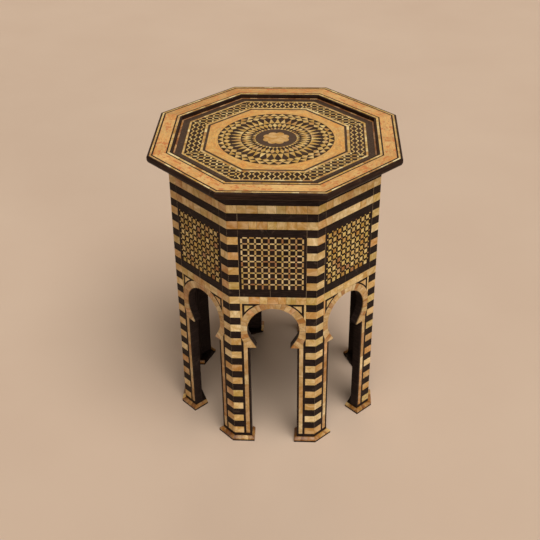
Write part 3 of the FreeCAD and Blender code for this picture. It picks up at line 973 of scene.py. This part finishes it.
def wave_outlines(number):
    """Pieces of the wavy lines of a straight side of the band. The back and the left mirror their like."""
    waves = RIGHT_WAVES if number in (RIGHT, LEFT) else FRONT_WAVES
    sign_u = -1 if number == LEFT else 1
    sign_v = -1 if number == FRONT else 1
    outlines = []
    for line in waves["lines"]:
        middle = waves["first"] + WAVE_SPACING * line
        swing = WAVE_SWING if line % 2 else -WAVE_SWING
        spine = []
        for bend in waves["bends"]:
            peak = waves["peak"] + WAVE_HALF_PERIOD * bend
            offset = middle + (swing if bend % 2 == 0 else -swing)
            spine += [(offset, peak - WAVE_FLAT), (offset, peak + WAVE_FLAT)]
        for (u0, v0), (u1, v1) in zip(spine, spine[1:]):
            half = WAVE_WIDTH / 2
            quad = [(u0 - half, v0), (u0 + half, v0), (u1 + half, v1), (u1 - half, v1)]
            outlines.append([(sign_u * u, sign_v * v) for u, v in quad])
    return outlines


def band_lattice_dashes(number):
    """Dashes of the lattice on a slanting side of the band, set out for one quarter and mirrored."""
    found = lattice(
        BAND_LATTICE_START, BAND_LATTICE_COUNT, BAND_LATTICE_PITCH, BAND_DASH_WIDTH, 1, False)
    sign_u = 1 if number in RIGHT_SLANTS else -1
    sign_v = 1 if number in BACK_SLANTS else -1
    return [[(sign_u * u, sign_v * v) for u, v in outline] for outline in found["dash"]]


def pattern_band():
    """Band of wavy lines and lattice between two pale lines, over a dark ground."""
    ground, pale = Pieces(), Pieces()
    outer, inner = PATTERN_BAND
    outline = [
        (-outer * MITRE, -outer), (outer * MITRE, -outer),
        (inner * MITRE, -inner), (-inner * MITRE, -inner)]
    for number in range(FACES):
        ground.tile(outline, on_top(number), TRAY_FLOOR - PATTERN_SUNK, BOARD_TOP, tint(TRAY_EBONY_AND_SHEEN))
        limits = side_limits(number)
        if number % 2:
            for shape in band_lattice_dashes(number):
                colour = tint(BAND_BONE, LATTICE_STRAY)
                pale.tile(clip(shape, limits), on_top(0), TRAY_FLOOR, BOARD_TOP, colour)
        else:
            for shape in wave_outlines(number):
                colour = tint(BAND_BONE, WAVE_STRAY)
                pale.tile(clip(shape, limits), on_top(0), TRAY_FLOOR, BOARD_TOP, colour, 0, WAVE_EDGE)
    ground.finish("pattern_ground", DARK_TILES, "dark_veneer", "tray_pattern_band")
    pale.finish("pattern_tiles", BONE_TILES, "pattern_band", "tray_pattern_band")


def ray_point(radius, step):
    """Point on a ring of the medallion. Whole steps lie on the rays, half steps between them."""
    return polar((0, 0), radius, math.radians(TURN / 4 + step * TURN / RAYS))


def triangles(inner, outer, tips, step):
    """Pale triangles of a ring, which point out or in, and the dark ones between them, as two lists."""
    foot, tip = (inner, outer) if tips == "out" else (outer, inner)
    pale, dark = [], []
    for number in range(RAYS):
        middle = number + step
        pale.append([ray_point(foot, middle - 0.5), ray_point(foot, middle + 0.5), ray_point(tip, middle)])
        dark.append([ray_point(foot, middle + 0.5), ray_point(tip, middle), ray_point(tip, middle + 1)])
    return pale, dark


def rosette_outline():
    """Eight round lobes that meet in notches."""
    ring = ROSETTE_RADIUS - ROSETTE_LOBE
    half_step = TURN / ROSETTE_LOBES / 2
    notch = math.degrees(math.asin(ring * math.sin(math.radians(half_step)) / ROSETTE_LOBE))
    reach = notch + half_step
    outline = []
    for number in range(ROSETTE_LOBES):
        middle = (2 * number + 1) * half_step
        centre = polar((0, 0), ring, math.radians(middle))
        outline += arc(centre, ROSETTE_LOBE, middle - reach, middle + reach, LOBE_STEPS)[:-1]
    return outline


def medallion():
    """Rings of pale and dark triangles round a dark disc with a flower."""
    ground, pale, dark, flower = Pieces(), Pieces(), Pieces(), Pieces()
    place = on_top(0)
    low, high = BOARD_TOP, TRAY_FLOOR
    sunk = high - DARK_SUNK
    outline = [ray_point(MEDALLION_RADIUS, number + 0.5) for number in range(RAYS)]
    ground.tile(outline, place, high - GROUND, low, tint(TRAY_EBONY_AND_SHEEN, 0))
    disc = [ray_point(DISC_RADIUS, number / 2) for number in range(2 * RAYS)]
    dark.tile(disc, place, sunk, low, tint(DISC_EBONY_AND_SHEEN))
    for ring in TRIANGLE_RINGS:
        pale_shapes, dark_shapes = triangles(*ring)
        for shape in pale_shapes:
            pale.tile(shape, place, high, low, tint(TRAY_BONE, RAY_STRAY), TRIANGLE_GAP, TRIANGLE_EDGE)
        for shape in dark_shapes:
            colour = tint(TRAY_EBONY_AND_SHEEN, RAY_DARK_STRAY)
            dark.tile(shape, place, sunk, low, colour, TRIANGLE_GAP, TRIANGLE_EDGE)
    flower.tile(rosette_outline(), place, high, low, tint(ROSETTE_BONE))
    ground.finish("medallion_ground", DARK_TILES, "dark_veneer", "medallion_centre")
    pale.finish("medallion_pale_tiles", BONE_TILES, "pale_tesserae", "medallion_rays")
    dark.finish(
        "medallion_dark_tiles", DARK_TILES, "dark_veneer", "medallion_toothed_ring", "medallion_centre")
    flower.finish("rosette_inlay", BONE_TILES, "pale_tesserae", "medallion_rosette")


# Pieces that stay as they are in the part, with a finish of their own

def dress_nodes():
    finishes = (
        ("side_board", EBONISED),
        ("foot_base", BASE_WOOD),
        ("glue_blocks", INNER_WOOD),
        ("top_board", INNER_WOOD),
        ("tray_dark_borders", DARK_VENEER_AND_SHEEN),
    )
    for name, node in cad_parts.items():
        for start, material in finishes:
            if name.startswith(start):
                node.data.materials.clear()
                node.data.materials.append(material)


# Room, lights and camera, in metres

FLOOR_REACH = 40.0
SURROUND_LIGHT = 0.07
SURROUND_TINT = (1.0, 0.8, 0.6)
SURROUND_SEEN_BY = ("Is Camera Ray", "Is Glossy Ray", "Is Transmission Ray")
BACKDROP = (206, 181, 157)
LIGHT_TINT = (1.0, 0.985, 0.96)
BACK_TINT = (1.0, 0.88, 0.74)

# Distant lights, as (name, where it comes from, strength, spread in degrees, tint, whether gloss shows it)
LIGHTS = (
    ("sky", (1.0, -1.5, 4.2), 2.75, 45, LIGHT_TINT, True),
    ("front", (1.5, -2.6, 0.4), 1.45, 30, LIGHT_TINT, False),
    ("back", (0.2, 2.2, 0.6), 0.85, 40, BACK_TINT, False),
)

CAMERA_PLACE = (0.0576, -1.37595, 1.15025)
CAMERA_ANGLES = (33.395, -2.911, -0.709)
SENSOR_WIDTH = 36.0
FOCAL_PIXELS = 948.94
IMAGE_PIXELS = 540
FOCAL_LENGTH = FOCAL_PIXELS / IMAGE_PIXELS * SENSOR_WIDTH


def room():
    corners = [(x * FLOOR_REACH, y * FLOOR_REACH, 0) for x, y in ((-1, -1), (1, -1), (1, 1), (-1, 1))]
    mesh = bpy.data.meshes.new("floor")
    mesh.from_pydata(corners, [], [(0, 1, 2, 3)])
    mesh.materials.append(floor_finish())
    floor = bpy.data.objects.new("floor", mesh)
    bpy.context.scene.collection.objects.link(floor)


def any_ray(tree, kinds):
    """Socket that is one for rays of any of the kinds."""
    path = tree.nodes.new("ShaderNodeLightPath")
    found = path.outputs[kinds[0]]
    for kind in kinds[1:]:
        either = tree.nodes.new("ShaderNodeMath")
        either.operation = "MAXIMUM"
        tree.links.new(found, either.inputs[0])
        tree.links.new(path.outputs[kind], either.inputs[1])
        found = either.outputs[0]
    return found


def surround():
    """A plain pale surround: the camera, gloss and glass see it whole, and it lights the object less."""
    world = bpy.data.worlds.new("surround")
    bpy.context.scene.world = world
    world.use_nodes = True
    tree = world.node_tree
    weak = tree.nodes["Background"]
    weak.inputs["Color"].default_value = SURROUND_TINT + (1.0,)
    weak.inputs["Strength"].default_value = SURROUND_LIGHT
    whole = tree.nodes.new("ShaderNodeBackground")
    whole.inputs["Color"].default_value = opaque(BACKDROP)
    choose = tree.nodes.new("ShaderNodeMixShader")
    tree.links.new(any_ray(tree, SURROUND_SEEN_BY), choose.inputs[0])
    tree.links.new(weak.outputs[0], choose.inputs[1])
    tree.links.new(whole.outputs[0], choose.inputs[2])
    tree.links.new(choose.outputs[0], tree.nodes["World Output"].inputs["Surface"])


def lights():
    """Broad soft light from above, and weaker light without glare from low in front and from behind."""
    for name, heading, strength, width, colour, in_gloss in LIGHTS:
        data = bpy.data.lights.new(name, "SUN")
        data.energy = strength
        data.angle = math.radians(width)
        data.color = colour
        made = bpy.data.objects.new(name, data)
        made.rotation_euler = Vector(heading).to_track_quat("Z", "Y").to_euler()
        made.visible_glossy = in_gloss
        bpy.context.scene.collection.objects.link(made)


def camera():
    """Where the photograph was taken from."""
    data = bpy.data.cameras.new("camera")
    data.sensor_width = SENSOR_WIDTH
    data.lens = FOCAL_LENGTH
    made = bpy.data.objects.new("camera", data)
    bpy.context.scene.collection.objects.link(made)
    pitch, yaw, roll = (math.radians(angle) for angle in CAMERA_ANGLES)
    forward = Vector((math.sin(yaw) * math.cos(pitch), math.cos(yaw) * math.cos(pitch), -math.sin(pitch)))
    level = forward.cross(Vector((0, 0, 1))).normalized()
    upright = level.cross(forward)
    right = level * math.cos(roll) + upright * math.sin(roll)
    up = upright * math.cos(roll) - level * math.sin(roll)
    matrix = Matrix((right, up, -forward)).transposed().to_4x4()
    matrix.translation = Vector(CAMERA_PLACE)
    made.matrix_world = matrix
    bpy.context.scene.camera = made


def build():
    for number in range(FACES):
        inlay_face(number)
        glue_lines(number)
        lattice_face(number)
        foot_tiles(number)
        rail(number)
    rim_strips()
    tray_strips()
    field()
    pattern_band()
    medallion()
    dress_nodes()
    room()
    surround()
    lights()
    camera()
    bpy.context.scene.view_settings.view_transform = "Standard"


build()
